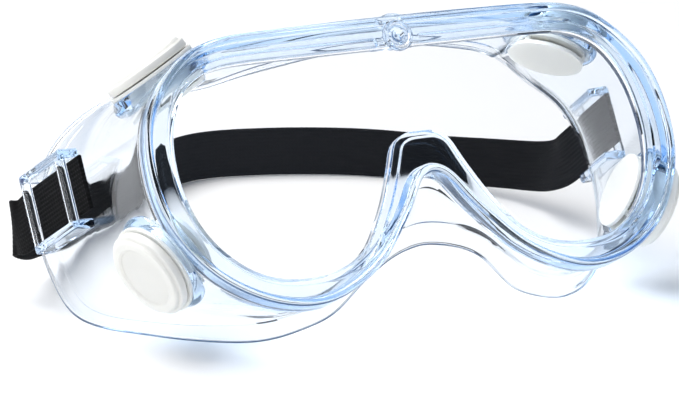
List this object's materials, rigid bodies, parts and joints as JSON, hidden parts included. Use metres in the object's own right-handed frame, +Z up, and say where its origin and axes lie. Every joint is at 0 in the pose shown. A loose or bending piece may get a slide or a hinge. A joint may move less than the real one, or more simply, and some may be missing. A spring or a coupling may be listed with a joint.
{
  "type": "safety goggles",
  "caption": "Clear splash goggles: soft moulded frame with bowed lens, round covered vents on the sides and a black elastic head strap.",
  "frame": {"origin": "centre of the bounding box's bottom, on the table that the goggles stand on", "axes": "+Z up, -Y the way the lens faces, +X to the right of someone who looks at the front of the lens"},
  "size_m": [0.1808, 0.1956, 0.0818],
  "materials": {
    "clear_pvc": "clear soft PVC with a faint blue tint",
    "clear_lens": "clear polished polycarbonate",
    "vent_plastic": "milky white plastic",
    "elastic_strap": "black woven elastic"
  },
  "bodies": {
    "frame": {"goggle_frame": "clear_pvc", "lens": "clear_lens", "lens_stud": "clear_pvc", "strap_end_left": "elastic_strap", "strap_end_right": "elastic_strap", "vent_body_upper_right": "vent_plastic", "vent_baffle_upper_right": "vent_plastic", "vent_body_upper_left": "vent_plastic", "vent_baffle_upper_left": "vent_plastic", "vent_body_lower_right": "vent_plastic", "vent_baffle_lower_right": "vent_plastic", "vent_body_lower_left": "vent_plastic", "vent_baffle_lower_left": "vent_plastic"},
    "strap": {"strap_loop": "elastic_strap"},
    "cap_upper_right": {"vent_cap_upper_right": "vent_plastic"},
    "cap_upper_left": {"vent_cap_upper_left": "vent_plastic"},
    "cap_lower_right": {"vent_cap_lower_right": "vent_plastic"},
    "cap_lower_left": {"vent_cap_lower_left": "vent_plastic"}
  },
  "joints": [
    {"name": "strap_swing", "type": "hinge", "parent": "frame", "child": "strap", "pos_m": [-0.00172, -0.01511, 0.02552], "axis": [1, 0, 0], "range_deg": [0, 35]},
    {"name": "cap_upper_right_pull", "type": "slide", "parent": "frame", "child": "cap_upper_right", "axis": [0.4688, 0.3595, 0.8069], "range_m": [0, 0.004]},
    {"name": "cap_upper_left_pull", "type": "slide", "parent": "frame", "child": "cap_upper_left", "axis": [-0.4688, 0.3595, 0.8069], "range_m": [0, 0.004]},
    {"name": "cap_lower_right_pull", "type": "slide", "parent": "frame", "child": "cap_lower_right", "axis": [0.8713, -0.2491, -0.4228], "range_m": [0, 0.004]},
    {"name": "cap_lower_left_pull", "type": "slide", "parent": "frame", "child": "cap_lower_left", "axis": [-0.8713, -0.2491, -0.4228], "range_m": [0, 0.004]}
  ]
}
